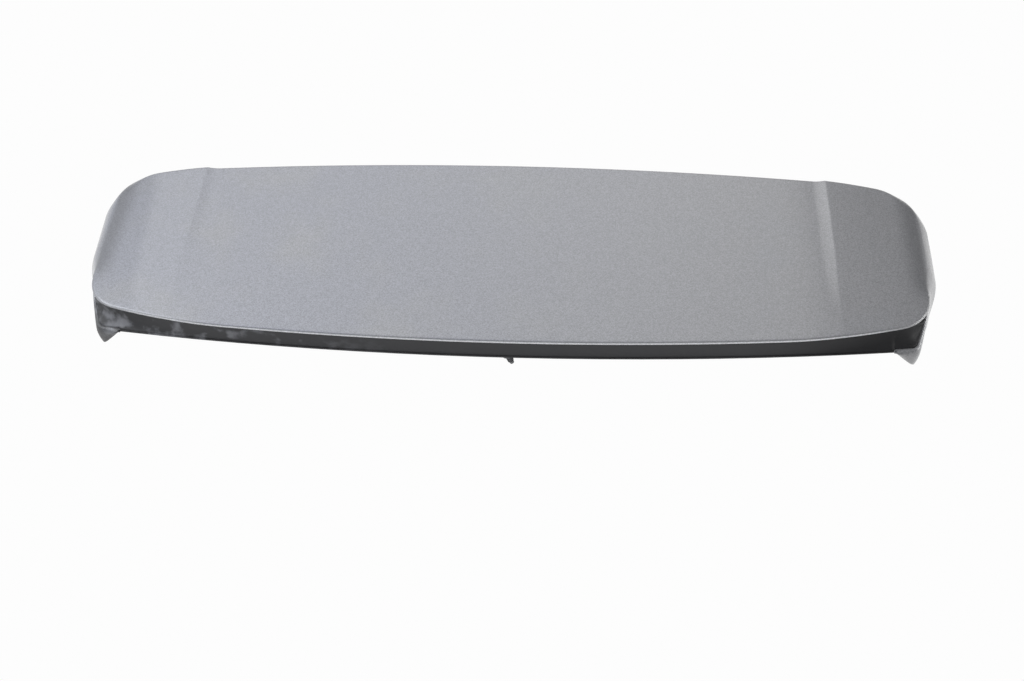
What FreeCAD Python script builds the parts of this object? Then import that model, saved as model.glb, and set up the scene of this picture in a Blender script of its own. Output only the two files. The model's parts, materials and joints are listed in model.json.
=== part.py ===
import FreeCAD
import Part
import math
import os

# Tailgate spoiler: a painted outer skin with two fins, bonded and screwed to a black lower shell.
# Millimetres. X across the car, Y towards the front of the car, Z up. The part stands on its
# two fin tips and its four stud ends.

os.makedirs("parts", exist_ok=True)
doc = FreeCAD.newDocument("spoiler")
sheet = doc.addObject("Spreadsheet::Sheet", "Sizes")
V = FreeCAD.Vector

SIZES = [
    ("rear_arc_radius", 3600, "rear edge, plan radius"),
    ("rear_arc_end", 8.88, "heading where the rear arc meets the fin corner"),
    ("fin_corner_radius", 16, "fin corner, plan radius"),
    ("fin_corner_end", 70, "heading where the fin corner meets the flank"),
    ("flank_length", 211, "run of the flank from fin to front corner"),
    ("flank_end", 97, "heading where the flank meets the front corner"),
    ("front_corner_radius", 80, "front corner, plan radius"),
    ("front_corner_end", 176.7, "heading where the front arc starts"),
    ("trim_arc_end", 6.1, "heading where the trailing edge leaves the rear arc"),
    ("trim_shoulder_radius", 620, "trailing edge, shoulder radius"),
    ("trim_shoulder_end", 21, "heading at the end of the shoulder"),
    ("trim_corner_radius", 107, "trailing edge, corner radius"),
    ("trim_corner_end", 72, "heading at the end of the trailing edge"),
    ("trim_setback", 1, "trailing edge set in from the lip"),
    ("top_rear_height", 88, "top surface at the trailing edge, centre"),
    ("top_front_height", 62, "top surface at the front edge, centre"),
    ("top_bulge", 4, "rise of the top above its chord"),
    ("top_crown", 14, "fall of the top at the crown station"),
    ("crown_station", 560, "half width at which the crown is measured"),
    ("roll_start", 470, "half width at which the ends start to roll down"),
    ("roll_reach", 115, "run of the end roll"),
    ("roll_drop", 13, "fall of the end roll"),
    ("crease_half_width", 462, "roof line crease, half width"),
    ("crease_rise", 5, "height of the crease at the front edge"),
    ("crease_fall", 0.05, "slope that starts at the crease"),
    ("crease_width", 14, "run of the crease step"),
    ("crease_fade", 0.85, "part of the depth over which the crease fades"),
    ("side_lean", 0.36, "outward lean of the side wall"),
    ("front_lean", 0.12, "outward lean of the front flange"),
    ("lean_datum", 48, "height at which the outline is drawn"),
    ("lean_run", 130, "run over which the lean grows behind the fin"),
    ("skin_wall", 3.2, "outer skin, wall"),
    ("lip_height", 57, "lower lip, height at the centre"),
    ("lip_crown", 17, "fall of the lip at the crown station"),
    ("floor_fall", 8, "fall of the lower shell from rear to front"),
    ("fin_inner_half_width", 531, "inner corner of the fin at the lip"),
    ("fin_tip_half_width", 561, "inner corner of the fin at the tip"),
    ("side_bottom_front", 31, "side wall, lower edge at the front corner"),
    ("fin_tip_depth", 10, "flat of the fin tip, front to rear"),
    ("shell_wall", 2.6, "lower shell, wall"),
    ("band_setback", 2.4, "rear band set in under the trailing edge"),
    ("band_clearance", 12, "run of clear skin in front of the band"),
    ("shell_clearance", 0.3, "clearance between shell and skin side walls"),
    ("window_end", 98, "rear opening in the skin, front end"),
    ("rib_wall", 2, "rib, wall"),
    ("rib_depth", 9, "rib, depth below the floor"),
    ("rib_pitch", 94, "ribs, spacing across"),
    ("rib_first", 54, "long rib, rear"),
    ("rib_second", 196, "long rib, middle"),
    ("rib_third", 322, "long rib, front"),
    ("rib_inset", 14.4, "ribs stop this far inside the outline"),
    ("stud_half_span", 380, "stud, half spacing across"),
    ("stud_rear", 112, "rear studs, distance from the rear edge"),
    ("stud_pitch", 170, "spacing of front and rear studs"),
    ("stud_radius", 3, "threaded stud M6, radius"),
    ("stud_length", 20, "stud below its boss"),
    ("stud_body_radius", 4.5, "knurled body in the boss, radius"),
    ("stud_body_length", 12, "knurled body in the boss, length"),
    ("stud_flange_radius", 8, "stud flange, radius"),
    ("stud_flange_height", 1.5, "stud flange, height"),
    ("stud_chamfer", 0.8, "stud end chamfer"),
    ("boss_radius", 11, "stud boss, radius"),
    ("seal_radius", 15, "seal washer, outer radius"),
    ("seal_bore", 8.4, "seal washer, bore radius"),
    ("seal_height", 5, "seal washer, height"),
    ("screw_rear", 72, "screws, distance from the rear edge"),
    ("screw_half_span", 470, "outer screws, half spacing"),
    ("screw_count", 6, "screws in the row"),
    ("screw_radius", 2.1, "screw shank, radius"),
    ("screw_length", 16, "screw shank, length"),
    ("screw_head_radius", 4.2, "screw head, radius"),
    ("screw_head_height", 2.8, "screw head, height"),
    ("screw_recess_width", 1, "cross recess, width"),
    ("screw_recess_depth", 1.6, "cross recess, depth"),
    ("screw_pad_radius", 7, "screw pad under the floor, radius"),
    ("screw_pad_height", 3, "screw pad under the floor, height"),
    ("screw_post_radius", 5, "post in the skin, radius"),
    ("screw_hole_clearance", 0.25, "clearance of the screw in the floor"),
    ("front_seal_inset", 5, "front seal, distance inside the outline"),
    ("front_seal_width", 8, "front seal, width"),
    ("front_seal_height", 8, "front seal, height"),
    ("front_seal_start", 300, "front seal, rearmost point"),
    ("pad_start", 86, "fin pad, rear end"),
    ("pad_length", 46, "fin pad, length"),
    ("pad_thickness", 5, "fin pad, thickness"),
    ("pad_bottom", 15, "fin pad, lower edge"),
    ("pad_height", 15, "fin pad, height"),
    ("clip_half_span", 512, "fin clip, half spacing"),
    ("clip_from_rear", 112, "fin clip, distance from the rear edge"),
    ("clip_width", 16, "clip tower, width"),
    ("clip_tower_wall", 3, "clip tower, wall"),
    ("clip_tower_height", 16, "clip tower, height below the floor"),
    ("clip_sheet", 0.8, "spring clip, sheet"),
    ("clip_height", 12, "spring clip, height"),
    ("clip_barb", 2.4, "spring clip, barb"),
    ("peg_offset", 6, "centre clip, offset from the middle"),
    ("peg_from_rear", 11, "centre clip, distance from the rear edge"),
    ("peg_tilt", 20, "centre clip, tilt"),
    ("peg_length", 25, "centre clip, length"),
    ("peg_radius", 3, "centre clip, core radius"),
    ("peg_rib_radius", 4.3, "centre clip, rib radius"),
    ("peg_rib_pitch", 3, "centre clip, rib pitch"),
    ("peg_boss_height", 5, "centre clip, boss below the floor"),
    ("peg_head_radius", 7, "centre clip, head radius"),
    ("peg_head_height", 2, "centre clip, head height"),
]
for row, (alias, value, note) in enumerate(SIZES, start=1):
    sheet.set("A%d" % row, alias.replace("_", " "))
    sheet.set("B%d" % row, str(value))
    sheet.set("C%d" % row, note)
    sheet.setAlias("B%d" % row, alias)
doc.recompute()


def size(alias):
    """Value of one driving size."""
    return float(getattr(sheet, alias))


FAR = 900.0
STATIONS = 6


def arc_chain(start, legs):
    """Points and headings along tangent arcs; a leg is (radius, end heading)."""
    x, y, heading = start
    out = [(x, y, heading)]
    for radius, end in legs:
        a0 = math.radians(heading)
        for step in range(1, STATIONS + 1):
            a1 = math.radians(heading + (end - heading) * step / STATIONS)
            px = x + radius * (math.sin(a1) - math.sin(a0))
            py = y + radius * (math.cos(a0) - math.cos(a1))
            out.append((px, py, math.degrees(a1)))
        x, y, heading = out[-1]
    return out


def half_outline():
    """Right half of the plan outline, rear centre to front centre."""
    turn = math.cos(math.radians(size("fin_corner_end"))) - math.cos(math.radians(size("flank_end")))
    flank_radius = size("flank_length") / turn
    legs = [
        (size("rear_arc_radius"), size("rear_arc_end")),
        (size("fin_corner_radius"), size("fin_corner_end")),
        (flank_radius, size("flank_end")),
        (size("front_corner_radius"), size("front_corner_end")),
    ]
    chain = arc_chain((0.0, 0.0, 0.0), legs)
    x, y, heading = chain[-1]
    front_radius = x / math.sin(math.radians(180.0 - heading))
    return chain + arc_chain((x, y, heading), [(front_radius, 180.0)])[1:]


def smooth(t):
    """Smooth step from 0 to 1."""
    t = max(0.0, min(1.0, t))
    return t * t * (3.0 - 2.0 * t)


HALF = half_outline()
DEPTH = HALF[-1][1]


def lean_at(y, heading):
    """Outward lean of the wall: none on the fin corner, most on the flank, little in front."""
    grow = smooth((y - size("fin_corner_radius") - HALF[STATIONS][1]) / size("lean_run"))
    front = smooth((heading - size("flank_end")) / (size("front_corner_end") - size("flank_end")))
    flank = smooth((heading - size("rear_arc_end")) / (size("fin_corner_end") - size("rear_arc_end")))
    lean = size("side_lean") * grow * flank
    return lean + (size("front_lean") - lean) * front


def leg_edge(points):
    """Smooth edge through points, its end directions taken from the outline itself."""
    first = points[0]
    last = points[-1]
    run = points[1:-1]
    curve = Part.BSplineCurve()
    curve.interpolate(Points=run, InitialTangent=run[1] - first, FinalTangent=last - run[-2])
    return curve.toShape()


def level_wire(z, inset):
    """Closed outline at one height, set in from the outer face: one edge for each arc."""
    half = []
    for x, y, heading in HALF:
        out = lean_at(y, heading) * (size("lean_datum") - z) - inset
        a = math.radians(heading)
        half.append((x + out * math.sin(a), y - out * math.cos(a)))
    right = [V(x, y, z) for x, y in half]
    left = [V(-x, y, z) for x, y in half]
    right[0].x = 0.0
    right[-1].x = 0.0
    loop = right + left[-2:0:-1]
    total = len(loop)
    starts = [-STATIONS, STATIONS, 2 * STATIONS, 3 * STATIONS, 4 * STATIONS]
    starts += [6 * STATIONS, 7 * STATIONS, 8 * STATIONS, 9 * STATIONS]
    edges = []
    for first, last in zip(starts[:-1], starts[1:]):
        edges.append(leg_edge([loop[k % total] for k in range(first - 1, last + 2)]))
    return Part.Wire(edges)


LOW = -20.0
HIGH = 110.0


def outline_solid(inset):
    """Outer form below the ceiling, before the top is cut."""
    return Part.makeLoft([level_wire(LOW, inset), level_wire(HIGH, inset)], True, True)


def top_height(x, y):
    """Height of the painted top surface."""
    a = abs(x)
    s = y / DEPTH
    z = size("top_rear_height") + (size("top_front_height") - size("top_rear_height")) * s
    z += size("top_bulge") * 4.0 * s * (1.0 - s)
    z -= size("top_crown") * (a / size("crown_station")) ** 2
    z -= size("roll_drop") * max(0.0, (a - size("roll_start")) / size("roll_reach")) ** 3
    z -= size("crease_fall") * max(0.0, a - size("crease_half_width"))
    rise = size("crease_rise") * smooth((s - 1.0 + size("crease_fade")) / size("crease_fade"))
    step = smooth((a - size("crease_half_width")) / size("crease_width") + 0.5)
    fall = smooth((a - size("crease_half_width")) / (size("crown_station") - size("crease_half_width")))
    return z + rise * step * (1.0 - fall)


def ceiling_face():
    """Top surface as one smooth patch, denser across the creases."""
    crease = size("crease_half_width")
    run = size("crease_width")
    inner_columns = 5
    outer_columns = 5
    edge_low = crease - 2.0 * run
    edge_high = crease + 2.5 * run
    wide = size("crown_station") + 85.0
    half = [edge_low * k / inner_columns for k in range(inner_columns)]
    half += [crease + run * k / 2.0 for k in range(-4, 6)]
    half += [edge_high + (wide - edge_high) * k / outer_columns for k in range(1, outer_columns + 1)]
    xs = [-x for x in reversed(half[1:])] + half
    rows = 9
    ys = [-40.0 + (DEPTH + 80.0) * k / (rows - 1) for k in range(rows)]
    grid = [[V(x, y, top_height(x, y)) for y in ys] for x in xs]
    surface = Part.BSplineSurface()
    surface.interpolate(grid)
    return surface.toShape()


CEILING = ceiling_face()


def above_top(lowered):
    """Everything above the top surface, lowered."""
    face = CEILING.copy()
    face.translate(V(0, 0, -lowered))
    return face.extrude(V(0, 0, 300.0))


def lip_at(x, y):
    """Height of the lip surface."""
    fall = size("lip_crown") * (x / size("crown_station")) ** 2
    return size("lip_height") - fall - size("floor_fall") * y / DEPTH


def above_lip(raised, start, end):
    """Everything above the lip surface, between two depths."""
    wide = size("crown_station") + 90.0
    points = [V(x, start, lip_at(x, start) + raised) for x in (-wide, 0.0, wide)]
    curve = Part.BSplineCurve()
    curve.buildFromPoles([points[0], V(0, start, 2 * points[1].z - points[0].z), points[2]], False, 2)
    high = 260.0
    rim = Part.makePolygon([points[2], V(wide, start, high), V(-wide, start, high), points[0]])
    face = Part.Face(Part.Wire([curve.toShape()] + rim.Edges))
    slope = size("floor_fall") / DEPTH
    return face.extrude(V(0, end - start, -(end - start) * slope))


def trim_prism(inset):
    """Prism inside the trailing edge, set in."""
    legs = [
        (size("rear_arc_radius"), size("trim_arc_end")),
        (size("trim_shoulder_radius"), size("trim_shoulder_end")),
        (size("trim_corner_radius"), size("trim_corner_end")),
    ]
    chain = arc_chain((0.0, size("trim_setback"), 0.0), legs)
    half = []
    for x, y, heading in chain:
        a = math.radians(heading)
        half.append((x - inset * math.sin(a), y + inset * math.cos(a)))
    half[0] = (0.0, half[0][1])
    loop = [(-x, y) for x, y in reversed(half[1:])] + half
    curve = Part.BSplineCurve()
    curve.interpolate([V(x, y, LOW) for x, y in loop])
    a = math.radians(size("trim_corner_end"))
    x, y = half[-1]
    run = 160.0
    ends = [V(x, y, LOW), V(x + run * math.cos(a), y + run * math.sin(a), LOW)]
    ends += [V(FAR, FAR, LOW), V(-FAR, FAR, LOW)]
    ends += [V(-x - run * math.cos(a), y + run * math.sin(a), LOW), V(-x, y, LOW)]
    rim = Part.makePolygon(ends)
    face = Part.Face(Part.Wire([curve.toShape()] + rim.Edges))
    return face.extrude(V(0, 0, 300.0))


def box(x0, x1, y0, y1, z0, z1):
    """Plain block between limits."""
    return Part.makeBox(x1 - x0, y1 - y0, z1 - z0, V(x0, y0, z0))


def mirror_x(shape):
    """Copy on the other side of the middle."""
    return shape.mirror(V(0, 0, 0), V(1, 0, 0))


def one_solid(shape, name):
    """The single solid of a result, or an error."""
    solids = shape.Solids
    if len(solids) != 1:
        raise ValueError("%s has %d solids" % (name, len(solids)))
    return solids[0]


STUD_BOSS_BOTTOM = size("stud_length")
STUDS = []
for side, side_name in ((-1, "left"), (1, "right")):
    for row, row_name in ((0, "rear"), (1, "front")):
        x = side * size("stud_half_span")
        y = size("stud_rear") + row * size("stud_pitch")
        STUDS.append((x, y, "%s_%s" % (row_name, side_name)))

SCREWS = []
for k in range(int(size("screw_count"))):
    x = size("screw_half_span") * (2.0 * k / (size("screw_count") - 1) - 1.0)
    y = size("screw_rear") - size("screw_half_span") ** 2 / size("rear_arc_radius") / 2.0
    y += abs(x) ** 2 / size("rear_arc_radius") / 2.0
    SCREWS.append((x, y))


def screw_seat(x, y):
    """Height of the flat under the floor that a screw head sits on."""
    return lip_at(x, y) - size("shell_wall") - size("screw_pad_height")


def rear_cut():
    """What the trailing edge cuts away above the lip."""
    return above_lip(0.0, -60.0, size("flank_length")).cut(trim_prism(0.0))


def rear_window():
    """Opening under the trailing edge that the band fills."""
    clear = size("band_setback") + size("shell_wall") + size("band_clearance")
    return above_lip(0.0, -60.0, size("window_end")).cut(trim_prism(clear))


def below_fins():
    """What lies under the lower edges of the skin."""
    inner = size("fin_inner_half_width")
    tip = size("fin_tip_half_width")
    lip = lip_at(inner, 0.0)
    start = -80.0
    points = [V(-tip, start, LOW), V(tip, start, LOW), V(tip, start, 0.0), V(inner, start, lip)]
    points += [V(inner, start, 80.0), V(-inner, start, 80.0), V(-inner, start, lip), V(-tip, start, 0.0)]
    notch = Part.Face(Part.makePolygon(points + [points[0]])).extrude(V(0, size("flank_length") + 80.0, 0))
    notch = notch.cut(above_lip(0.0, -80.0, DEPTH))
    rear = HALF[STATIONS][1] + size("fin_tip_depth")
    far = DEPTH + 60.0
    rise = size("side_bottom_front") / (DEPTH - rear)
    side = [V(-FAR, -80.0, LOW * 3), V(-FAR, -80.0, 0.0), V(-FAR, rear, 0.0)]
    side += [V(-FAR, far, rise * (far - rear)), V(-FAR, far, LOW * 3)]
    wedge = Part.Face(Part.makePolygon(side + [side[0]])).extrude(V(2 * FAR, 0, 0))
    return notch.fuse(wedge)


def cylinder(x, y, radius, z0, z1):
    """Upright cylinder."""
    return Part.makeCylinder(radius, z1 - z0, V(x, y, z0))


def wall_ring(inset, wall, lowered):
    """Upright wall along the outline, up to the lowered top surface."""
    ring = outline_solid(inset).cut(outline_solid(inset + wall))
    return ring.cut(above_top(lowered))


def skin_shape():
    """Painted outer skin: top, side walls, front flange, fins and screw posts."""
    form = outline_solid(0.0).cut(above_top(0.0)).cut(rear_cut())
    hollow = outline_solid(size("skin_wall")).fuse(rear_window())
    hollow = hollow.cut(above_top(size("skin_wall")))
    posts = []
    bores = []
    for x, y in SCREWS:
        posts.append(cylinder(x, y, size("screw_post_radius"), 0.0, HIGH))
        bores.append(cylinder(x, y, size("screw_radius"), 0.0, screw_seat(x, y) + size("screw_length")))
    posts = Part.makeCompound(posts).common(above_lip(0.0, -60.0, DEPTH + 60.0)).cut(bores)
    skin = form.cut(hollow.cut(posts)).cut(below_fins())
    return one_solid(skin, "outer_skin")


def under_floor(depth, inset):
    """Slab below the floor, set in from the outline."""
    slab = outline_solid(inset).common(above_lip(-size("shell_wall") - depth, -70.0, DEPTH + 60.0))
    return slab.cut(above_lip(-size("shell_wall"), -80.0, DEPTH + 80.0))


def peg_axis():
    """Direction of the centre clip, pointing down."""
    a = math.radians(size("peg_tilt"))
    return V(math.sin(a), 0.0, -math.cos(a))


def peg_root():
    """Point of the floor that the centre clip hangs from."""
    x = size("peg_offset")
    y = size("peg_from_rear")
    return V(x, y, lip_at(x, y) - size("shell_wall"))


def shell_shape():
    """Black lower shell: band, lip, floor, rim, ribs, bosses and towers."""
    gap = size("skin_wall") + size("shell_clearance")
    wall = size("shell_wall")
    inner = outline_solid(gap)
    half = size("fin_inner_half_width") - size("shell_clearance")
    middle = outline_solid(0.0).common(box(-half, half, -40.0, size("window_end"), LOW, HIGH))
    plan = inner.fuse(middle)
    floor = plan.common(above_lip(-wall, -60.0, DEPTH + 40.0)).cut(above_lip(0.0, -70.0, DEPTH + 60.0))
    root_level = above_lip(-wall / 2.0, -60.0, DEPTH + 40.0)
    band = trim_prism(size("band_setback")).cut(trim_prism(size("band_setback") + wall))
    band = band.common(root_level).cut(above_top(size("skin_wall"))).common(plan)
    zone = box(-FAR, FAR, size("window_end") + 30.0, FAR, LOW, HIGH)
    rim = wall_ring(gap, wall, size("skin_wall")).common(root_level).common(zone)
    shell = floor.fuse([band, rim])
    ribs = []
    for k in range(-5, 6):
        x = k * size("rib_pitch")
        ribs.append(box(x - size("rib_wall") / 2, x + size("rib_wall") / 2, -20.0, DEPTH + 20.0, LOW, HIGH))
    for y in (size("rib_first"), size("rib_second"), size("rib_third")):
        ribs.append(box(-FAR, FAR, y - size("rib_wall") / 2, y + size("rib_wall") / 2, LOW, HIGH))
    grid = ribs[0].fuse(ribs[1:]).common(under_floor(size("rib_depth"), size("rib_inset")))
    bosses = []
    bores = []
    keep = above_lip(-wall / 2, -80.0, DEPTH + 80.0)
    for x, y, name in STUDS:
        bosses.append(cylinder(x, y, size("boss_radius"), STUD_BOSS_BOTTOM, HIGH))
        top = STUD_BOSS_BOTTOM + size("stud_body_length")
        bores.append(cylinder(x, y, size("stud_body_radius"), LOW, top))
    for x, y in SCREWS:
        bosses.append(cylinder(x, y, size("screw_pad_radius"), screw_seat(x, y), HIGH))
        bores.append(cylinder(x, y, size("screw_radius") + size("screw_hole_clearance"), LOW, HIGH))
        bores.append(cylinder(x, y, size("screw_pad_radius"), LOW, screw_seat(x, y)))
    for side in (-1, 1):
        x = side * size("clip_half_span")
        y = size("clip_from_rear")
        bosses.append(box(x - size("clip_width") / 2, x + size("clip_width") / 2,
                          y - size("clip_tower_wall") / 2, y + size("clip_tower_wall") / 2,
                          clip_end(), HIGH))
    root = peg_root()
    seat = size("peg_boss_height")
    peg_boss = Part.makeCylinder(size("peg_head_radius"), 2 * seat, root - peg_axis() * seat, peg_axis())
    bosses.append(peg_boss)
    pads = bosses[0].fuse(bosses[1:]).cut(keep)
    shell = shell.fuse([grid, pads])
    shell = shell.cut(bores)
    return one_solid(shell, "lower_shell")


def clip_end():
    """Lower end of a clip tower."""
    x = size("clip_half_span")
    return lip_at(x, size("clip_from_rear")) - size("shell_wall") - size("clip_tower_height")


def front_seal_shape():
    """Seal strip under the front edge."""
    ring = outline_solid(size("front_seal_inset"))
    ring = ring.cut(outline_solid(size("front_seal_inset") + size("front_seal_width")))
    slab = under_floor(size("front_seal_height"), size("skin_wall"))
    zone = box(-FAR, FAR, size("front_seal_start"), DEPTH + 40.0, LOW, HIGH)
    return one_solid(ring.common(slab).common(zone), "front_seal")


def fin_pad_shape(side):
    """Foam pad on the inner face of one fin."""
    wall = size("skin_wall")
    strip = outline_solid(wall).cut(outline_solid(wall + size("pad_thickness")))
    y = size("pad_start")
    zone = box(0.0, FAR, y, y + size("pad_length"), size("pad_bottom"), size("pad_bottom") + size("pad_height"))
    pad = one_solid(strip.common(zone), "fin_pad")
    return pad if side > 0 else mirror_x(pad)


NODES = []
REACH = DEPTH + size("front_lean") * (size("lean_datum") - size("side_bottom_front"))
SHIFT = REACH / 2.0


def feature(label, shape):
    """Free-form piece as a document object."""
    obj = doc.addObject("Part::Feature", label)
    obj.Shape = shape
    obj.Label = label
    obj.Placement.Base = V(0, -SHIFT, 0)
    NODES.append(obj)
    return obj


def primitive(kind, label, at, axis=None, **bound):
    """Primitive with its sizes bound to the sheet."""
    obj = doc.addObject(kind, label)
    for prop, expression in bound.items():
        obj.setExpression(prop, expression)
    obj.Placement.Base = at
    if axis is not None:
        obj.Placement.Rotation = FreeCAD.Rotation(V(0, 0, 1), axis)
    return obj


def joined(label, pieces):
    """One node fused from primitives."""
    obj = doc.addObject("Part::MultiFuse", label)
    obj.Shapes = pieces
    obj.Refine = True
    obj.Label = label
    NODES.append(obj)
    return obj


def taken(label, base, tool):
    """One node cut by a tool."""
    obj = doc.addObject("Part::Cut", label)
    obj.Base = base
    obj.Tool = tool
    obj.Label = label
    NODES.append(obj)
    return obj


feature("outer_skin", skin_shape())
feature("lower_shell", shell_shape())
feature("front_seal", front_seal_shape())
feature("fin_pad_left", fin_pad_shape(-1))
feature("fin_pad_right", fin_pad_shape(1))

for x, y, name in STUDS:
    foot = V(x, y - SHIFT, 0)
    end = primitive("Part::Cone", "stud_end_" + name, foot,
                    Radius1="Sizes.stud_radius - Sizes.stud_chamfer", Radius2="Sizes.stud_radius",
                    Height="Sizes.stud_chamfer")
    shank = primitive("Part::Cylinder", "stud_shank_" + name, foot + V(0, 0, size("stud_chamfer")),
                      Radius="Sizes.stud_radius", Height="Sizes.stud_length - Sizes.stud_chamfer")
    flange = primitive("Part::Cylinder", "stud_flange_" + name,
                       foot + V(0, 0, STUD_BOSS_BOTTOM - size("stud_flange_height")),
                       Radius="Sizes.stud_flange_radius", Height="Sizes.stud_flange_height")
    body = primitive("Part::Cylinder", "stud_body_" + name, foot + V(0, 0, STUD_BOSS_BOTTOM),
                     Radius="Sizes.stud_body_radius", Height="Sizes.stud_body_length")
    joined("stud_" + name, [end, shank, flange, body])
    under = foot + V(0, 0, STUD_BOSS_BOTTOM - size("seal_height"))
    ring = primitive("Part::Cylinder", "seal_ring_" + name, under,
                     Radius="Sizes.seal_radius", Height="Sizes.seal_height")
    bore = primitive("Part::Cylinder", "seal_bore_" + name, under - V(0, 0, 1),
                     Radius="Sizes.seal_bore", Height="Sizes.seal_height + 2")
    taken("seal_washer_" + name, ring, bore)

for k, (x, y) in enumerate(SCREWS, start=1):
    seat = V(x, y - SHIFT, screw_seat(x, y))
    shank = primitive("Part::Cylinder", "screw_shank_%d" % k, seat,
                      Radius="Sizes.screw_radius", Height="Sizes.screw_length")
    head = primitive("Part::Cylinder", "screw_head_%d" % k, seat - V(0, 0, size("screw_head_height")),
                     Radius="Sizes.screw_head_radius", Height="Sizes.screw_head_height")
    blank = doc.addObject("Part::MultiFuse", "screw_blank_%d" % k)
    blank.Shapes = [shank, head]
    low = seat - V(0, 0, size("screw_head_height"))
    slots = []
    for turn in (0, 90):
        slot = doc.addObject("Part::Box", "screw_slot_%d_%d" % (k, turn))
        slot.setExpression("Length", "Sizes.screw_head_radius * 1.2")
        slot.setExpression("Width", "Sizes.screw_recess_width")
        slot.setExpression("Height", "Sizes.screw_recess_depth")
        half = V(size("screw_head_radius") * 0.6, size("screw_recess_width") / 2, 0)
        spin = FreeCAD.Rotation(V(0, 0, 1), turn)
        slot.Placement = FreeCAD.Placement(low - spin.multVec(half), spin)
        slots.append(slot)
    cross = doc.addObject("Part::MultiFuse", "screw_cross_%d" % k)
    cross.Shapes = slots
    taken("screw_%d" % k, blank, cross)

for side, name in ((-1, "left"), (1, "right")):
    x = side * size("clip_half_span")
    y = size("clip_from_rear") - SHIFT
    sheet_wall = size("clip_sheet")
    width = size("clip_width")
    deep = size("clip_tower_wall")
    outer = doc.addObject("Part::Box", "clip_outer_" + name)
    outer.setExpression("Length", "Sizes.clip_width")
    outer.setExpression("Width", "Sizes.clip_tower_wall + 2 * Sizes.clip_sheet")
    outer.setExpression("Height", "Sizes.clip_height")
    outer.Placement.Base = V(x - width / 2, y - deep / 2 - sheet_wall, clip_end() - sheet_wall)
    barb = doc.addObject("Part::Wedge", "clip_barb_" + name)
    barb.setExpression("Xmax", "Sizes.clip_width")
    barb.setExpression("X2max", "Sizes.clip_width")
    barb.setExpression("Zmax", "Sizes.clip_tower_wall + 2 * Sizes.clip_sheet + 2 * Sizes.clip_barb")
    barb.setExpression("Z2min", "Sizes.clip_barb")
    barb.setExpression("Z2max", "Sizes.clip_tower_wall + 2 * Sizes.clip_sheet + Sizes.clip_barb")
    barb.setExpression("Ymax", "Sizes.clip_height / 2")
    barb.Xmin = 0
    barb.X2min = 0
    barb.Ymin = 0
    barb.Zmin = 0
    spin = FreeCAD.Rotation(V(1, 0, 0), -90)
    at = V(x - width / 2, y - deep / 2 - sheet_wall - size("clip_barb"),
           clip_end() - sheet_wall + size("clip_height") / 2)
    barb.Placement = FreeCAD.Placement(at, spin)
    metal = doc.addObject("Part::MultiFuse", "clip_metal_" + name)
    metal.Shapes = [outer, barb]
    slot = doc.addObject("Part::Box", "clip_slot_" + name)
    slot.setExpression("Length", "Sizes.clip_width + 2")
    slot.setExpression("Width", "Sizes.clip_tower_wall")
    slot.setExpression("Height", "Sizes.clip_height")
    slot.Placement.Base = V(x - width / 2 - 1, y - deep / 2, clip_end())
    taken("fin_clip_" + name, metal, slot)

axis = peg_axis()
root = peg_root() + V(0, -SHIFT, 0) + axis * size("peg_boss_height")
pieces = [primitive("Part::Cylinder", "peg_head", root, axis,
                    Radius="Sizes.peg_head_radius", Height="Sizes.peg_head_height")]
pieces.append(primitive("Part::Cylinder", "peg_core", root, axis,
                        Radius="Sizes.peg_radius", Height="Sizes.peg_length - Sizes.peg_boss_height"))
reach = size("peg_length") - size("peg_boss_height")
count = int((reach - size("peg_head_height") - 1.0) / size("peg_rib_pitch"))
for k in range(count):
    at = root + axis * (size("peg_head_height") + 1.0 + k * size("peg_rib_pitch"))
    pieces.append(primitive("Part::Cone", "peg_rib_%d" % k, at, axis,
                            Radius1="Sizes.peg_rib_radius", Radius2="Sizes.peg_radius",
                            Height="Sizes.peg_rib_pitch * 0.7"))
joined("centre_clip", pieces)

doc.recompute()
for obj in doc.Objects:
    if "Invalid" in obj.State or "Error" in obj.State:
        raise ValueError("%s does not build" % obj.Label)
for obj in NODES:
    if obj.Shape.isNull() or not obj.Shape.isValid():
        raise ValueError("%s has no valid shape" % obj.Label)
    one_solid(obj.Shape, obj.Label)
    obj.Shape.exportStep("parts/%s.step" % obj.Label)
    print(obj.Label, round(obj.Shape.Volume))
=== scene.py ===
# %% [markdown]
# Tailgate spoiler, seen as in the photo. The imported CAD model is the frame. This script gives it its
# finish and its visible outer skin, and adds a floor, soft light and the camera.
import bmesh
import bpy
import json
import math
import numpy as np
from mathutils import Matrix, Vector


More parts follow.
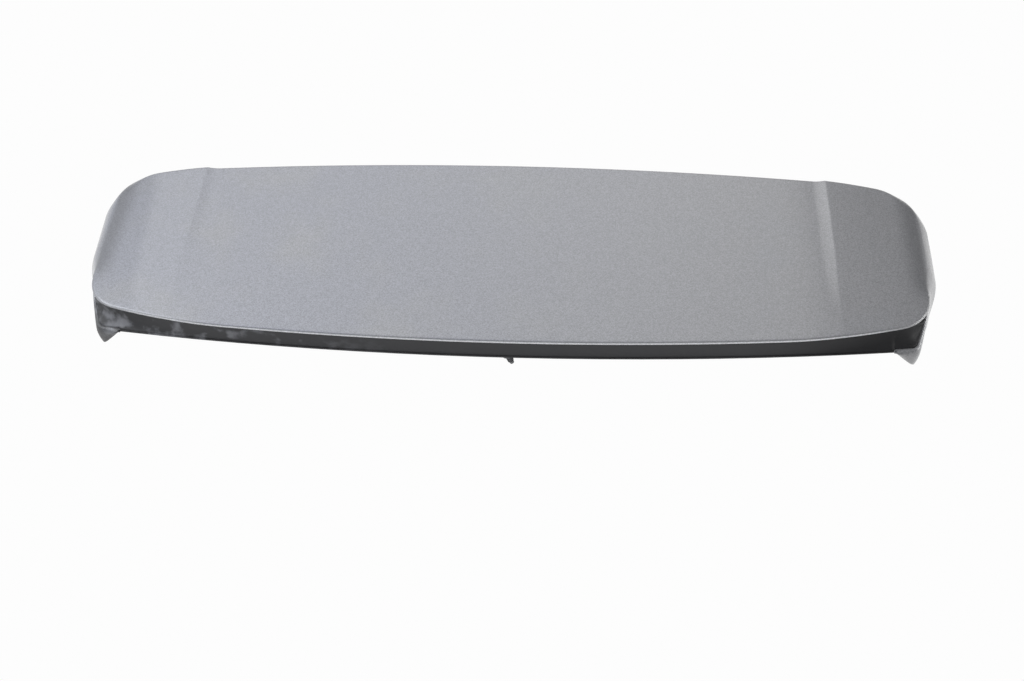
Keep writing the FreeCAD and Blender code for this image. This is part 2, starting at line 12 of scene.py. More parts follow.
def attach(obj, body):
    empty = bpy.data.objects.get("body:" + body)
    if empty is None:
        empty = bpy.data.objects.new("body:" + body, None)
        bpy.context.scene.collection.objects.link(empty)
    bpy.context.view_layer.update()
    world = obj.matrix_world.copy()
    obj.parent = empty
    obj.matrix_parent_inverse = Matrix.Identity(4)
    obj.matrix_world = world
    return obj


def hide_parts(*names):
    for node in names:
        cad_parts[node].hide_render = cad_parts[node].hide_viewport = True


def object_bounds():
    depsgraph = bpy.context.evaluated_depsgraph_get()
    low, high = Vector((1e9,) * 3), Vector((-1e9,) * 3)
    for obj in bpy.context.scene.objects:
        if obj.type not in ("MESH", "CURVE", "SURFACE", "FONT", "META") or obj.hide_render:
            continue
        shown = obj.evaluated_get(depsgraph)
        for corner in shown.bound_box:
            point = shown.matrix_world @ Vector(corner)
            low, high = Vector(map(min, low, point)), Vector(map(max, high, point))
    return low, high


# %% load the frame
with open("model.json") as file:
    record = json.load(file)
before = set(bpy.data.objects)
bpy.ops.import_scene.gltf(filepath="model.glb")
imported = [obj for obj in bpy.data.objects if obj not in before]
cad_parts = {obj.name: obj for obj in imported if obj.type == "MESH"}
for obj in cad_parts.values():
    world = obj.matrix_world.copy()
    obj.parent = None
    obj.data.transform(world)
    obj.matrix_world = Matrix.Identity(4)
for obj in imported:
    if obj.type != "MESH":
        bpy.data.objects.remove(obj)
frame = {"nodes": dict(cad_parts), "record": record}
nodes = frame["nodes"]
cad_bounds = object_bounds()
print(len(nodes), "nodes", [tuple(round(c, 4) for c in p) for p in cad_bounds])

# %% [markdown]
# Paint, dust and wear are all node trees. A few helpers keep them short: each adds one node, gives
# its sockets constants or links, and hands back the output.


# %% helpers for node trees
def add(tree, kind, **props):
    """New node with its properties set."""
    node = tree.nodes.new(kind)
    for key, value in props.items():
        setattr(node, key, value)
    return node


def feed(tree, socket, value):
    """Link a socket to another socket, or give it a constant."""
    if isinstance(value, bpy.types.NodeSocket):
        tree.links.new(value, socket)
    else:
        socket.default_value = value


def put(tree, node, **values):
    """Feed sockets of a node by name, spaces written as underscores."""
    for key, value in values.items():
        feed(tree, node.inputs[key.replace("_", " ")], value)
    return node


def math_node(tree, operation, a, b=0.0):
    """One maths node; a and b are numbers or sockets."""
    node = add(tree, "ShaderNodeMath", operation=operation)
    feed(tree, node.inputs[0], a)
    feed(tree, node.inputs[1], b)
    return node.outputs[0]


def product(tree, first, *factors):
    """Values multiplied one after another."""
    for factor in factors:
        first = math_node(tree, "MULTIPLY", first, factor)
    return first


def ramp(tree, value, low, high, out_low=0.0, out_high=1.0):
    """Smooth step of a value between two limits."""
    node = add(tree, "ShaderNodeMapRange", interpolation_type="SMOOTHSTEP")
    put(tree, node, Value=value, From_Min=low, From_Max=high, To_Min=out_low, To_Max=out_high)
    return node.outputs["Result"]


def mix(tree, factor, a, b):
    """Colour a turning into colour b."""
    node = add(tree, "ShaderNodeMix", data_type="RGBA")
    colours = [socket for socket in node.inputs if socket.type == "RGBA"]
    for socket, value in zip((node.inputs[0], *colours), (factor, a, b)):
        feed(tree, socket, value)
    return next(socket for socket in node.outputs if socket.type == "RGBA")


def axes(tree):
    """Object coordinates, one output per axis."""
    split = add(tree, "ShaderNodeSeparateXYZ")
    feed(tree, split.inputs[0], add(tree, "ShaderNodeTexCoord").outputs["Object"])
    return split.outputs


def group(name, inputs, output):
    """New node group of number sockets: inputs with defaults, and one output."""
    tree = bpy.data.node_groups.new(name, "ShaderNodeTree")
    for label, default in inputs.items():
        socket = tree.interface.new_socket(label, in_out="INPUT", socket_type="NodeSocketFloat")
        socket.default_value = default
    tree.interface.new_socket(output, in_out="OUTPUT", socket_type="NodeSocketFloat")
    return tree, add(tree, "NodeGroupInput").outputs, add(tree, "NodeGroupOutput").inputs


def use(tree, group_tree, **values):
    """Group node with its sockets fed; gives its output."""
    node = add(tree, "ShaderNodeGroup")
    node.node_tree = group_tree
    return put(tree, node, **values).outputs[0]


# %% [markdown]
# Metallic paint is flakes of metal under clear coat, each at its own angle. Flakes could be modelled
# as normals, but at this distance only their brightness is seen. So a fine cell texture gives each
# grain a brightness around 1, and the clear coat on top stays smooth.

# %% flake group
MEAN_CELL = 0.5
flake, flake_in, flake_out = group("flake", {"Grain": 900.0, "Depth": 0.42}, "Shade")
cells = add(flake, "ShaderNodeTexVoronoi", feature="F1")
put(flake, cells, Vector=add(flake, "ShaderNodeTexCoord").outputs["Object"], Scale=flake_in["Grain"])
grain = put(flake, add(flake, "ShaderNodeSeparateColor"), Color=cells.outputs["Color"]).outputs[0]
swing = product(flake, math_node(flake, "SUBTRACT", grain, MEAN_CELL), flake_in["Depth"])
feed(flake, flake_out["Shade"], math_node(flake, "ADD", swing, 1.0))
print("flake group", len(flake.nodes), "nodes")

# %% [markdown]
# Dust and dirt lie in soft patches, and the painted shade on the left foot is broken into such
# patches too. A noise that is cut between two limits gives such patches, and one group serves the
# paint, the plastic and the small parts.

# %% wear group
wear_and_shade, patch_in, patch_out = group("wear_and_shade", {"Scale": 60.0, "Low": 0.55, "High": 0.75}, "Mask")
field = add(wear_and_shade, "ShaderNodeTexNoise")
patch_place = add(wear_and_shade, "ShaderNodeTexCoord").outputs["Object"]
put(wear_and_shade, field, Vector=patch_place, Scale=patch_in["Scale"], Detail=4.0)
feed(wear_and_shade, patch_out["Mask"], ramp(wear_and_shade, field.outputs["Fac"], patch_in["Low"], patch_in["High"]))
print("wear group", len(wear_and_shade.nodes), "nodes")


# %% [markdown]
# The paint: grey with a painted blue cast of the cool light on the left, thin dust all over, painted
# shade on the left foot and along both shoulders, and a painted highlight on the trailing edge. Where
# the foot shade is painted, the metal and the coat are taken away too.

# %% paint
def material(name):
    """Material with a Principled surface."""
    made = bpy.data.materials.new(name)
    made.use_nodes = True
    return made, made.node_tree, made.node_tree.nodes["Principled BSDF"]


def round_edges(tree, shader, radius, samples, *sockets):
    """Fine edge radius that every moulding has, as a rounded normal."""
    bevel = put(tree, add(tree, "ShaderNodeBevel", samples=samples), Radius=radius)
    for socket in sockets:
        feed(tree, shader.inputs[socket], bevel.outputs["Normal"])


PAINT_LEFT_COOL_LIGHT, PAINT_RIGHT = (0.202, 0.208, 0.231, 1), (0.222, 0.222, 0.228, 1)
THIN_DUST = (0.215, 0.218, 0.228, 1)
LEFT_FOOT_SHADE = (0.06, 0.06, 0.062, 1)
SHOULDER_SHADE, SHOULDER_SHADE_SHARE = (0.085, 0.086, 0.09, 1), 0.55
EDGE_HIGHLIGHT, HIGHLIGHT_ENDS, HIGHLIGHT_MIDDLE = (0.78, 0.79, 0.81, 1), 0.1, 0.8
METAL, COAT = 0.5, 0.7
PAINT_EDGE = 0.004

paint, tree, shader = material("metallic grey paint")
at = axes(tree)
off_centre = math_node(tree, "ABSOLUTE", at["X"])
# Painted light: the bluer cast on the left stands for the cool light from that side.
tone = mix(tree, ramp(tree, at["X"], -0.3, 0.5), PAINT_LEFT_COOL_LIGHT, PAINT_RIGHT)
tone = mix(tree, use(tree, wear_and_shade, Scale=9.0, Low=0.45, High=0.8), tone, THIN_DUST)

# Painted shade: the low rear end of the left foot is darkened in patches, and there the metal and the
# coat are taken away too.
left_end, low_down = ramp(tree, at["X"], -0.5, -0.535), ramp(tree, at["Z"], 0.05, 0.04)
rear_end = ramp(tree, at["Y"], -0.07, -0.1)
foot_shade_patches = use(tree, wear_and_shade, Scale=45.0, Low=0.1, High=0.5)
foot_shade = product(tree, left_end, low_down, rear_end, foot_shade_patches)
tone = mix(tree, foot_shade, tone, LEFT_FOOT_SHADE)

# Painted shade along both shoulders, fading out towards the trailing edge.
shoulder_in, shoulder_out = ramp(tree, off_centre, 0.55, 0.58), ramp(tree, off_centre, 0.593, 0.585)
shoulder_rear = ramp(tree, at["Y"], -0.075, -0.02, 0.0, SHOULDER_SHADE_SHARE)
tone = mix(tree, product(tree, shoulder_in, shoulder_out, shoulder_rear), tone, SHOULDER_SHADE)

# Painted highlight along the trailing edge, strongest in the middle.
edge_highlight = add(tree, "ShaderNodeAttribute", attribute_name="edge_highlight").outputs["Fac"]
middle = ramp(tree, off_centre, 0.57, 0.49, HIGHLIGHT_ENDS, HIGHLIGHT_MIDDLE)
tone = mix(tree, product(tree, edge_highlight, middle), tone, EDGE_HIGHLIGHT)

flecked = add(tree, "ShaderNodeVectorMath", operation="SCALE")
feed(tree, flecked.inputs[0], tone)
put(tree, flecked, Scale=use(tree, flake, Grain=900.0, Depth=0.42))
clear = math_node(tree, "SUBTRACT", 1.0, foot_shade)
put(tree, shader, Base_Color=flecked.outputs[0], Metallic=product(tree, clear, METAL), Roughness=0.5)
put(tree, shader, Coat_Weight=product(tree, clear, COAT), Coat_Roughness=0.12)
round_edges(tree, shader, PAINT_EDGE, 6, "Normal", "Coat Normal")
print("paint", len(tree.nodes), "nodes")

# %% [markdown]
# The shell is black ABS, satin from the mould. A thin film of dust greys it; towards the right end it
# turns darker as painted shade. Dust patches gather towards the left end of the rear band, and there
# they also carry a painted sheen of the light from the left.

# %% plastic and small parts
RIGHT_END_SHADE_PLASTIC, FILMED_PLASTIC = (0.013, 0.013, 0.014, 1), (0.041, 0.041, 0.043, 1)
BAND_DUST_AND_SHEEN = (0.17, 0.173, 0.185, 1)
PLASTIC_EDGE = 0.0012

black, tree, shader = material("black satin plastic")
at = axes(tree)
# Painted shade: the plastic turns darker towards the right end.
tone = mix(tree, ramp(tree, at["X"], 0.5, 0.3), RIGHT_END_SHADE_PLASTIC, FILMED_PLASTIC)
# Dust patches towards the left end of the band, lighter also as a painted sheen of the light from the
# left.
patches = use(tree, wear_and_shade, Scale=34.0, Low=0.48, High=0.64)
dust_and_sheen = product(tree, patches, ramp(tree, at["X"], -0.1, -0.46), ramp(tree, at["Y"], -0.075, -0.1))
tone = mix(tree, dust_and_sheen, tone, BAND_DUST_AND_SHEEN)
put(tree, shader, Base_Color=tone, Roughness=0.6, Specular_IOR_Level=0.28)
round_edges(tree, shader, PLASTIC_EDGE, 4, "Normal")


def plain(name, colour, metallic, roughness):
    """Simple finish with a little unevenness."""
    made, tree, shader = material(name)
    spots = use(tree, wear_and_shade, Scale=220.0, Low=0.4, High=0.7)
    darker = tuple(c * 0.8 for c in colour)
    tone = mix(tree, spots, (*colour, 1), (*darker, 1))
    put(tree, shader, Base_Color=tone, Metallic=metallic, Roughness=roughness)
    return made


FINISH = {
    "paint": paint,
    "black_plastic": black,
    "seal_rubber": plain("seal rubber", (0.02, 0.02, 0.021), 0.0, 0.7),
    "pad_foam": plain("pad foam", (0.05, 0.05, 0.052), 0.0, 0.95),
    "clip_steel": plain("spring steel", (0.34, 0.33, 0.30), 1.0, 0.45),
    "stud_steel": plain("zinc steel", (0.6, 0.6, 0.57), 1.0, 0.32),
    "washer_foam": plain("washer foam", (0.035, 0.035, 0.036), 0.0, 0.9),
    "screw_steel": plain("black screw", (0.05, 0.05, 0.05), 1.0, 0.4),
    "clip_nylon": plain("grey nylon", (0.2, 0.2, 0.205), 0.0, 0.5),
}
slots = {part["node"]: part["material_slot"] for part in frame["record"]["subparts"]}
for name, obj in nodes.items():
    finish = FINISH[slots[name]]
    if not obj.material_slots:
        obj.data.materials.append(finish)
    for slot in obj.material_slots:
        slot.material = finish
print(len(FINISH), "finishes on", len(nodes), "nodes")

# %% [markdown]
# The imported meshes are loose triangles. A modifier welds them and smooths across gentle angles, so
# each moulding reflects as one surface; the mesh itself stays as packed.

# %% smooth shading by modifier
SHARP = math.radians(24.0)
WELD = 0.00001
soft = bpy.data.node_groups.new("weld and smooth", "GeometryNodeTree")
soft.interface.new_socket("Geometry", in_out="INPUT", socket_type="NodeSocketGeometry")
soft.interface.new_socket("Geometry", in_out="OUTPUT", socket_type="NodeSocketGeometry")
start = add(soft, "NodeGroupInput")
weld = add(soft, "GeometryNodeMergeByDistance")
put(soft, weld, Geometry=start.outputs[0], Distance=WELD)
faces = add(soft, "GeometryNodeSetShadeSmooth", domain="FACE")
put(soft, faces, Geometry=weld.outputs["Geometry"])
angle = add(soft, "GeometryNodeInputMeshEdgeAngle").outputs["Unsigned Angle"]
gentle = put(soft, add(soft, "FunctionNodeCompare", operation="LESS_THAN"), A=angle, B=SHARP)
edges = add(soft, "GeometryNodeSetShadeSmooth", domain="EDGE")
put(soft, edges, Geometry=faces.outputs["Geometry"], Shade_Smooth=gentle.outputs["Result"])
feed(soft, add(soft, "NodeGroupOutput").inputs[0], edges.outputs["Geometry"])
for obj in nodes.values():
    obj.modifiers.new("weld and smooth", "NODES").node_group = soft
print("smoothing on", len(nodes), "nodes")

# %% [markdown]
# The painted skin is one big moulding with a soft shoulder along its sides. The solid has a plain
# edge there, so the shoulder, the crisp roof-line creases and the rounded rear corners are drawn
# here. Car surfaces are usually patches on plan curves: this skin is a grid over the plan, its
# height is a formula, and its rim is carried down along the outline by short Bezier profiles.

# %% plan curves of the skin
REAR = cad_bounds[0][1]
EDGE_SETBACK = 0.001
REAR_RADIUS = 3.6
SIDE_HEADING = 90.0
FRONT_HEADING, FRONT_HALF_TURN = 180.0, 3.3


def arcs(start, legs):
    """Tangent arcs in plan: a leg (radius, end heading, steps) turns the heading at that radius."""
    x, y, heading = start
    out = [np.array([[x, y, math.radians(heading)]])]
    for radius, end, steps in legs:
        a0 = math.radians(heading)
        a = np.linspace(a0, math.radians(end), steps + 1)[1:]
        leg_x = x + radius * (np.sin(a) - math.sin(a0))
        leg_y = y + radius * (math.cos(a0) - np.cos(a))
        out.append(np.stack([leg_x, leg_y, a], 1))
        x, y, heading = leg_x[-1], leg_y[-1], end
    return np.concatenate(out)


edge_line = arcs(
    (0.0, EDGE_SETBACK, 0.0),
    [(REAR_RADIUS, 6.1, 400), (0.62, 21.0, 400), (0.0745, SIDE_HEADING, 120)])
front_start = FRONT_HEADING - FRONT_HALF_TURN
side_line = arcs((*edge_line[-1, :2], SIDE_HEADING), [(2.37, 94.0, 80), (0.05, front_start, 70)])
front_radius = side_line[-1, 0] / math.sin(math.radians(FRONT_HALF_TURN))
front_line = arcs((*side_line[-1, :2], front_start), [(front_radius, FRONT_HEADING, 900)])
DEPTH = front_line[-1, 1]
print("skin plan", np.round(edge_line[-1], 4), np.round(side_line[-1], 4), round(DEPTH, 4))

# %% [markdown]
# Heights: the top rises to the rear, bulges a little between the edges and falls to the ends. The
# outer panels stand higher than the middle; their step is full at the front and fades to the rear.

# %% heights of the skin
REAR_HEIGHT, FRONT_FALL, BULGE = 0.088, 0.026, 0.016
CROWN_HALF, CROWN_FALL = 0.56, 0.014
ROLL_START, ROLL_RUN, ROLL_FALL = 0.47, 0.115, 0.008
END_SLOPE = 0.045
CREASE_HALF, CREASE_RUN, CREASE_RISE, CREASE_FADE = 0.459, 0.018, 0.0034, 0.15
LIP_HEIGHT, LIP_CROWN, LIP_FALL, LIP_DEPTH = 0.057, 0.017, 0.008, 0.3495


def smooth(t):
    """Smooth step: 3t^2 - 2t^3 between 0 and 1."""
    t = np.clip(t, 0.0, 1.0)
    return t * t * (3.0 - 2.0 * t)


def top_height(x, y):
    """Chord from rear to front plus a bulge, less crown and end roll, plus the step of the crease."""
    a = np.abs(x)
    s = y / DEPTH
    z = REAR_HEIGHT - FRONT_FALL * s + BULGE * s * (1.0 - s)
    z = z - CROWN_FALL * (a / CROWN_HALF) ** 2
    z = z - ROLL_FALL * np.maximum(0.0, (a - ROLL_START) / ROLL_RUN) ** 3
    z = z - END_SLOPE * np.maximum(0.0, a - CREASE_HALF)
    rise = CREASE_RISE * smooth((s - CREASE_FADE) / (1.0 - CREASE_FADE))
    step = np.clip((a - CREASE_HALF) / CREASE_RUN + 1.0, 0.0, 1.0) ** 2
    return z + rise * step * (1.0 - smooth((a - CREASE_HALF) / (CROWN_HALF - CREASE_HALF)))


def lip_height(x, y):
    """Lip falls with the square of the half width and gently towards the front."""
    return LIP_HEIGHT - LIP_CROWN * (x / CROWN_HALF) ** 2 - LIP_FALL * y / LIP_DEPTH


# %% [markdown]
# Both new pieces are sheets made of grids. Only the right half is drawn; the left half is the same
# grid with X turned over and its faces flipped. Edges that coincide are welded, and a modifier
# gives the sheet its wall.

# %% mesh from grids
WELD_GRIDS, DEGENERATE = 0.00002, 0.00001
HIGHLIGHT_ROW = 3


def grid_faces(rows, columns):
    """Quads of a rows by columns grid, in reading order."""
    k = np.arange(rows * columns).reshape(rows, columns)
    return np.stack([k[:-1, :-1], k[1:, :-1], k[1:, 1:], k[:-1, 1:]], -1).reshape(-1, 4)


def surface(name, grids, slot, wall, highlit_grids=()):
    """Right-hand grids (rows, columns, 3) and their mirror images as one smooth sheet with a wall.

    In the grids listed as highlit, the rows past the highlight row carry 1 in the mask of the painted
    highlight.
    """
    verts, faces, highlight_at, base = [], [], [], 0
    for index, grid in enumerate(grids):
        rows, columns = grid.shape[:2]
        highlit = (np.arange(rows) > HIGHLIGHT_ROW) * (1.0 if index in highlit_grids else 0.0)
        for side in (1.0, -1.0):
            quads = grid_faces(rows, columns) + base
            verts.append(grid.reshape(-1, 3) * (side, 1.0, 1.0) + (0.0, REAR, 0.0))
            faces.append(quads if side > 0 else quads[:, ::-1])
            highlight_at.append(np.repeat(highlit, columns))
            base += rows * columns
    mesh = bpy.data.meshes.new(name)
    mesh.from_pydata(np.concatenate(verts).tolist(), [], np.concatenate(faces).tolist())
    highlight_values = mesh.attributes.new("edge_highlight", "FLOAT", "POINT").data
    highlight_values.foreach_set("value", np.concatenate(highlight_at))
    bm = bmesh.new()
    bm.from_mesh(mesh)
    bmesh.ops.remove_doubles(bm, verts=bm.verts, dist=WELD_GRIDS)
    bmesh.ops.dissolve_degenerate(bm, edges=bm.edges, dist=DEGENERATE)
    bm.to_mesh(mesh)
    bm.free()
    mesh.shade_smooth()
    mesh.materials.append(FINISH[slot])
    obj = bpy.data.objects.new(name, mesh)
    bpy.context.scene.collection.objects.link(obj)
    thick = obj.modifiers.new("wall", "SOLIDIFY")
    thick.thickness = wall
    thick.offset = -1.0
    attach(obj, "root")
    print(name, len(mesh.vertices), "vertices", len(mesh.polygons), "faces")
    return obj


# %% helpers for plan lines
def outward(line):
    """Unit vector to the outside of a plan line."""
    return np.stack([np.sin(line[:, 2]), -np.cos(line[:, 2])], 1)


def at_x(line, x):
    """Points of a plan line at given half widths."""
    order = np.argsort(line[:, 0], kind="stable")
    return np.stack([np.interp(x, line[order, 0], line[order, k]) for k in range(3)], 1)


def resample(line, count):
    """Even steps along a plan line, by its length in plan."""
    run = np.concatenate([[0.0], np.cumsum(np.hypot(*np.diff(line[:, :2], axis=0).T))])
    at = np.linspace(0.0, run[-1], count)
    return np.stack([np.interp(at, run, line[:, k]) for k in range(3)], 1)


def lifted(xy, z):
    """Plan points with heights."""
    return np.concatenate([xy, np.asarray(z)[:, None]], 1)


def bezier(p0, p1, p2, steps):
    """Quadratic Bezier from p0 to p2, all columns at once: rows run along the curve."""
    t = np.linspace(0.0, 1.0, steps + 1)[:, None, None]
    return (1 - t) ** 2 * p0 + 2 * t * (1 - t) * p1 + t ** 2 * p2


def towards(p, q, length):
    """Points a given length from p on the way to q."""
    gap = q - p
    return p + gap * (np.asarray(length) / np.maximum(1e-6, np.linalg.norm(gap, axis=1)))[:, None]


# %% [markdown]
# The panel is the top of the skin. Columns of constant X reach past the crease, so a column falls on
# each side of it; from there a ruled fan reaches the rounded end. The panel stops short of the
# outline by the softness of the rim.

# %% panel
EDGE_SOFT, SIDE_SOFT, FRONT_SOFT = 0.0025, 0.009, 0.004
SOFT_RUN = 0.05
FRONT_BLEND_START, FRONT_BLEND_RUN = math.radians(110), math.radians(50)
FAN_START = 0.475
FAN_COLUMNS, EDGE_ROWS, SIDE_ROWS = 36, 60, 72
CREASE_ZONE, CREASE_GAP = 0.02, 0.001


def softness(line):
    """Radius of the rolled rim: thin on the trailing edge, full on the side, less in front."""
    on_side = line[:, 2] > math.radians(SIDE_HEADING - 1.0)
    side = smooth((line[:, 1] - edge_line[-1, 1]) / SOFT_RUN) * on_side
    front = smooth((line[:, 2] - FRONT_BLEND_START) / FRONT_BLEND_RUN)
    return EDGE_SOFT + (SIDE_SOFT - EDGE_SOFT) * side + (FRONT_SOFT - SIDE_SOFT) * front


def inset(line):
    """Line drawn in by its own softness."""
    return line[:, :2] - outward(line) * softness(line)[:, None]


columns = np.concatenate([
    np.linspace(0.0, CREASE_HALF - CREASE_ZONE, 42),
    np.linspace(CREASE_HALF - CREASE_ZONE + CREASE_GAP, CREASE_HALF, 16),
    np.linspace(CREASE_HALF + CREASE_GAP, FAN_START, 10)])
rear_row, front_row = at_x(edge_line, columns), at_x(front_line, columns)
edge_out, front_out = (line[line[:, 0] > FAN_START] for line in (edge_line, front_line))
edge_part = resample(np.concatenate([rear_row[-1:], edge_out]), EDGE_ROWS)
side_part = resample(
    np.concatenate([edge_line[-1:], side_line[1:], front_out[1:], front_row[-1:]]), SIDE_ROWS)
end_loop = np.concatenate([edge_part, side_part[1:]])
junction = len(edge_part) - 1

end_in, rear_in, front_in = inset(end_loop), inset(rear_row), inset(front_row)
share = np.linspace(0.0, 1.0, len(end_in))[:, None, None]
centre = rear_in[None] + (front_in - rear_in)[None] * share
spread = np.linspace(0.0, 1.0, FAN_COLUMNS)[None, 1:, None]
fan = centre[:, -1:] + (end_in[:, None] - centre[:, -1:]) * spread
plan_x, plan_y = np.moveaxis(np.concatenate([centre, fan], 1), -1, 0)
panel = np.stack([plan_x, plan_y, top_height(plan_x, plan_y)], -1)[:, ::-1]
print("panel", panel.shape)

# %% [markdown]
# The rim turns down from the panel. Along the trailing edge it is a thin hem. Along the sides and
# the front it rolls into the wall, which slopes out to a broad strip at mid side.

# %% rim and side wall
SIDE_REACH, REACH_REAR, REACH_FRONT = 0.0245, (0.09, 0.10), (0.27, 0.088)
REACH_INSET = 0.0005
SIDE_RISE, FIN_FRONT = 0.1046, 0.0535
HEM = 0.001
KNEE_OUT, KNEE_DOWN = 0.66, 0.34
EDGE_STEPS, RIM_STEPS, WALL_STEPS = 6, 8, 16


def reach(y):
    """How far the lower edge of the wall stands outside the shoulder: a broad bump along the side."""
    grow = smooth((y - REACH_REAR[0]) / REACH_REAR[1])
    shrink = 1.0 - smooth((y - REACH_FRONT[0]) / REACH_FRONT[1])
    return SIDE_REACH * grow * shrink - REACH_INSET


def bottom(y):
    """Lower edge of the wall rises evenly from the fin tip to the front."""
    return SIDE_RISE * np.maximum(0.0, y - FIN_FRONT)


def rim(line):
    """Start and virtual corner of the rolled rim."""
    start = inset(line)
    return lifted(start, top_height(*start.T)), lifted(line[:, :2], top_height(*line[:, :2].T))


edge_bound = np.concatenate([rear_row, end_loop[1:junction + 1]])
start, corner = rim(edge_bound)
below = corner - (0.0, 0.0, EDGE_SOFT)
hem = np.linspace(0.0, HEM, 3)[1:, None, None] * np.array([0.0, 0.0, -1.0])
edge_rim = np.concatenate([bezier(start, corner, below, EDGE_STEPS), below + hem])

side_bound = np.concatenate([end_loop[junction:], front_row[::-1][1:]])
side_start, side_corner = rim(side_bound)
out = reach(side_bound[:, 1])[:, None] * outward(side_bound)
foot = lifted(side_bound[:, :2] + out, bottom(side_bound[:, 1]))
knee_height = (1.0 - KNEE_DOWN) * side_corner[:, 2] + KNEE_DOWN * foot[:, 2]
knee = lifted(side_bound[:, :2] + KNEE_OUT * out, knee_height)
below = towards(side_corner, knee, softness(side_bound))
side_wall = np.concatenate([
    bezier(side_start, side_corner, below, RIM_STEPS), bezier(below, knee, foot, WALL_STEPS)[1:]])
print("edge", edge_rim.shape, "side", side_wall.shape)

# %% [markdown]
# Behind the rear corner the wall runs on as a low fin. Its plan is the outline of the solid, its
# upper edge sinks from the corner to the lip, and its foot flares a little before the tip.

# %% fins
FIN_INNER, FIN_TIP = 0.531, 0.5672
FIN_CORNER_RADIUS, FLANK_RADIUS, FLANK_HEADING = 0.016, 0.4549, 70.0
FIN_SOFT, FIN_SOFT_LOSS = 0.004, 0.0015
FLARE, FLARE_START, FLARE_RUN, FLARE_UP = 0.005, 0.05, 0.06, 0.6
SKIN_WALL = 0.0025

fin_start = math.degrees(math.asin(FIN_INNER / REAR_RADIUS))
fin_inner_y = REAR_RADIUS * (1.0 - math.cos(math.radians(fin_start)))
fin_corner = arcs(
    (FIN_INNER, fin_inner_y, fin_start),
    [(REAR_RADIUS, 8.88, 20), (FIN_CORNER_RADIUS, FLANK_HEADING, 24)])
joint = end_loop[junction]
flank_cos = math.cos(math.radians(FLANK_HEADING)) - (joint[1] - fin_corner[-1, 1]) / FLANK_RADIUS
flank_turn = math.degrees(math.acos(flank_cos))
flank = arcs((*fin_corner[-1, :2], FLANK_HEADING), [(FLANK_RADIUS, flank_turn, 40)])
fin_line = np.concatenate([fin_corner, flank[1:-1]])
along = smooth((fin_line[:, 1] - FIN_FRONT) / (joint[1] - FIN_FRONT))
normal = outward(fin_line)
fin_line[:, :2] += (joint[:2] - fin_line[-1, :2]) * along[:, None] ** 3

lip = lip_height(*fin_line[:, :2].T)
ledge = lip + (side_corner[0, 2] - lip) * along
tip = lip * (1.0 - (fin_line[:, 0] - FIN_INNER) / (FIN_TIP - FIN_INNER))
under = np.maximum(np.maximum(tip, 0.0), bottom(fin_line[:, 1]))
drawn_in = FIN_SOFT - FIN_SOFT_LOSS * along
foot_out = reach(joint[1]) * along ** 2
flare = FLARE * (1.0 - smooth((fin_line[:, 1] - FLARE_START) / FLARE_RUN)) + KNEE_OUT * foot_out
fin_top = lifted(fin_line[:, :2] - normal * drawn_in[:, None], ledge)
fin_edge = lifted(fin_line[:, :2], ledge)
fin_knee = lifted(fin_line[:, :2] + normal * flare[:, None], under + FLARE_UP * (ledge - under))
fin_foot = lifted(fin_line[:, :2] + normal * foot_out[:, None], under)
fin_below = towards(fin_edge, fin_knee, np.minimum(FIN_SOFT, 0.5 * (ledge - under) + 1e-6))
fin = np.concatenate([
    bezier(fin_top, fin_edge, fin_below, RIM_STEPS),
    bezier(fin_below, fin_knee, fin_foot, WALL_STEPS)[1:]])
side_wall = np.concatenate([fin, side_wall], 1)
# Grid 1, the trailing-edge hem, carries the painted highlight.
skin = surface("painted_skin", [panel, edge_rim, side_wall], "paint", SKIN_WALL, highlit_grids=(1,))
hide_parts("outer_skin")

# %% [markdown]
# Under the trailing edge the black shell shows as one hollow sweep that widens into a cove at each
# end. A strip between the two edges, bent towards the inner corner, gives that sweep.

# %% cove
COVE_ROWS, MIDDLE_COLUMNS, END_COLUMNS = 12, 140, 70
UNDER_EDGE, COVE_INSET = 0.0034, 0.0015
LIP_INSET, LIP_LIFT = 0.0012, 0.0003
BEND_DOWN = 0.88
COVE_WALL = 0.0006

half_x = np.linspace(0.0, FIN_INNER, MIDDLE_COLUMNS)
edge_beyond = edge_line[edge_line[:, 0] > FIN_INNER]
edge_end = resample(np.concatenate([at_x(edge_line, half_x[-1:]), edge_beyond]), END_COLUMNS)
upper = np.concatenate([at_x(edge_line, half_x), edge_end[1:]])
upper_height = top_height(*upper[:, :2].T) - UNDER_EDGE
upper_points = lifted(upper[:, :2] - outward(upper) * COVE_INSET, upper_height)

lip_line = at_x(arcs((0.0, 0.0, 0.0), [(REAR_RADIUS, fin_start, 400)]), half_x)
lip_points = lifted(
    lip_line[:, :2] - outward(lip_line) * LIP_INSET, lip_height(*lip_line[:, :2].T) + LIP_LIFT)
fin_rim = np.concatenate([fin_top, side_start[:1]])
run = np.concatenate([[0.0], np.cumsum(np.linalg.norm(np.diff(fin_rim, axis=0), axis=1))])
stops = np.linspace(0.0, run[-1], END_COLUMNS)[1:]
fin_points = np.stack([np.interp(stops, run, fin_rim[:, k]) for k in range(3)], 1)
lower_points = np.concatenate([lip_points, fin_points])

bend_height = (1.0 - BEND_DOWN) * upper_points[:, 2] + BEND_DOWN * lower_points[:, 2]
bend = lifted(upper_points[:, :2], bend_height)
cove_grid = bezier(upper_points, bend, lower_points, COVE_ROWS)
cove = surface("cove", [cove_grid], "black_plastic", COVE_WALL)

# %% [markdown]
# The photo shows the part on white with no floor line. The floor is seen, and mirrored in the
# lacquer, as plain white; for all other light it is a pale matt surface.

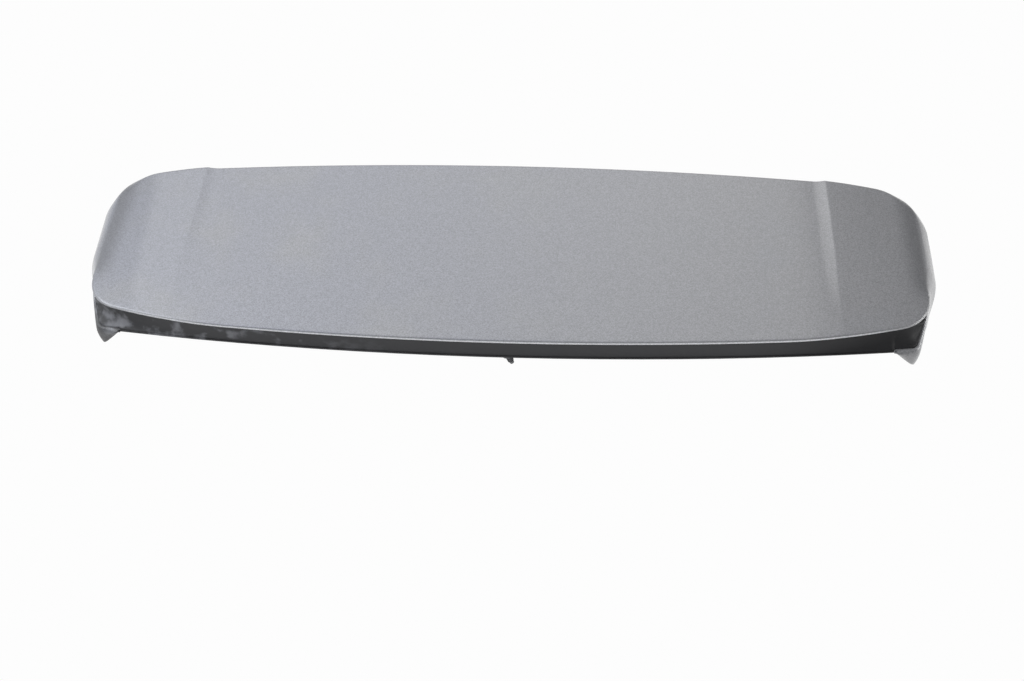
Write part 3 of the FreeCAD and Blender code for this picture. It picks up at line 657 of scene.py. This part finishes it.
# %% floor
FLOOR_HALF = 40.0
WHITE, PALE = (0.982, 0.982, 0.982, 1), (0.86, 0.86, 0.86, 1)
corners = np.array([(-1, -1, 0), (1, -1, 0), (1, 1, 0), (-1, 1, 0)]) * FLOOR_HALF
mesh = bpy.data.meshes.new("floor")
mesh.from_pydata(corners.tolist(), [], [(0, 1, 2, 3)])
floor = bpy.data.objects.new("floor", mesh)
bpy.context.scene.collection.objects.link(floor)
pale, tree, shader = material("pale floor")
put(tree, shader, Base_Color=PALE, Roughness=0.9)
glow = put(tree, add(tree, "ShaderNodeEmission"), Color=WHITE, Strength=1.0)
ray = add(tree, "ShaderNodeLightPath").outputs
seen = math_node(tree, "MAXIMUM", ray["Is Camera Ray"], ray["Is Glossy Ray"])
blend = add(tree, "ShaderNodeMixShader")
for socket, value in zip(blend.inputs, (seen, shader.outputs[0], glow.outputs[0])):
    feed(tree, socket, value)
feed(tree, tree.nodes["Material Output"].inputs["Surface"], blend.outputs[0])
mesh.materials.append(pale)
print("floor", 2 * FLOOR_HALF, "m wide")

# %% [markdown]
# The light in the photo comes from a wide window on the left; the right end is darker, with a low
# bright patch on its side strip. A sky that dims to the low right and four softboxes give that.

# %% light
WORLD_LEFT, WORLD_RIGHT = 0.55, 0.22
DIM_START, DIM_END = -0.25, 0.4
SKY = (0.95, 0.965, 1.0, 1)
PART_MIDDLE, RIGHT_END = (0, 0, 0.05), (0.6, 0.0, 0.05)

world = bpy.data.worlds.new("studio")
bpy.context.scene.world = world
world.use_nodes = True
sky = world.node_tree
towards_sky = add(sky, "ShaderNodeSeparateXYZ")
feed(sky, towards_sky.inputs[0], add(sky, "ShaderNodeTexCoord").outputs["Generated"])
low_right = math_node(sky, "SUBTRACT", towards_sky.outputs["X"], towards_sky.outputs["Z"])
strength = ramp(sky, low_right, DIM_START, DIM_END, WORLD_LEFT, WORLD_RIGHT)
put(sky, sky.nodes["Background"], Color=SKY, Strength=strength)


def softbox(name, place, aim, size, power, colour=(1, 1, 1)):
    """Rectangular area light pointed at a place."""
    data = bpy.data.lights.new(name, "AREA")
    data.shape = "RECTANGLE"
    data.size, data.size_y = size
    data.energy = power
    data.color = colour
    lamp = bpy.data.objects.new(name, data)
    lamp.location = place
    lamp.rotation_euler = (Vector(aim) - Vector(place)).to_track_quat("-Z", "Y").to_euler()
    bpy.context.scene.collection.objects.link(lamp)
    print(name, power, "W")


softbox("window left", (-2.6, 0.6, 2.2), PART_MIDDLE, (2.4, 2.4), power=90.0, colour=(0.95, 0.97, 1.0))
softbox("ceiling", (-0.5, 2.5, 2.4), PART_MIDDLE, (3.4, 3.2), power=52.0)
softbox("window behind", (0.4, -2.4, 1.9), PART_MIDDLE, (1.6, 0.9), power=9.0)
softbox("window right", (2.6, 0.3, 0.4), RIGHT_END, (1.2, 0.5), power=19.0)

# %% [markdown]
# The camera was fitted twice: first with the left and right halves of the outline in the photo as
# mirror images, then by laying the outline of the render on the outline in the photo. Pitch looks
# down, yaw turns left, roll leans the picture.

# %% camera
FOCAL_PX, IMAGE_PX = 1500.0, 1024.0
SENSOR = 36.0
PITCH, YAW, ROLL = math.radians(51.709), math.radians(4.481), math.radians(-1.949)
CAMERA_PLACE = (0.1127, -1.405, 1.654)

ahead = Vector((-math.sin(YAW), math.cos(YAW), 0))
across = Vector((math.cos(YAW), math.sin(YAW), 0))
up = Vector((0, 0, 1))
look = ahead * math.cos(PITCH) - up * math.sin(PITCH)
rise = ahead * math.sin(PITCH) + up * math.cos(PITCH)
camera_x = across * math.cos(ROLL) + rise * math.sin(ROLL)
camera_y = rise * math.cos(ROLL) - across * math.sin(ROLL)
lens = bpy.data.cameras.new("camera")
lens.sensor_width = SENSOR
lens.lens = FOCAL_PX / IMAGE_PX * SENSOR
camera = bpy.data.objects.new("camera", lens)
turn = Matrix((camera_x, camera_y, -look)).transposed().to_4x4()
camera.matrix_world = Matrix.Translation(CAMERA_PLACE) @ turn
bpy.context.scene.collection.objects.link(camera)
bpy.context.scene.camera = camera
bpy.context.scene.view_settings.view_transform = "Standard"
print("lens", round(lens.lens, 2), "mm")
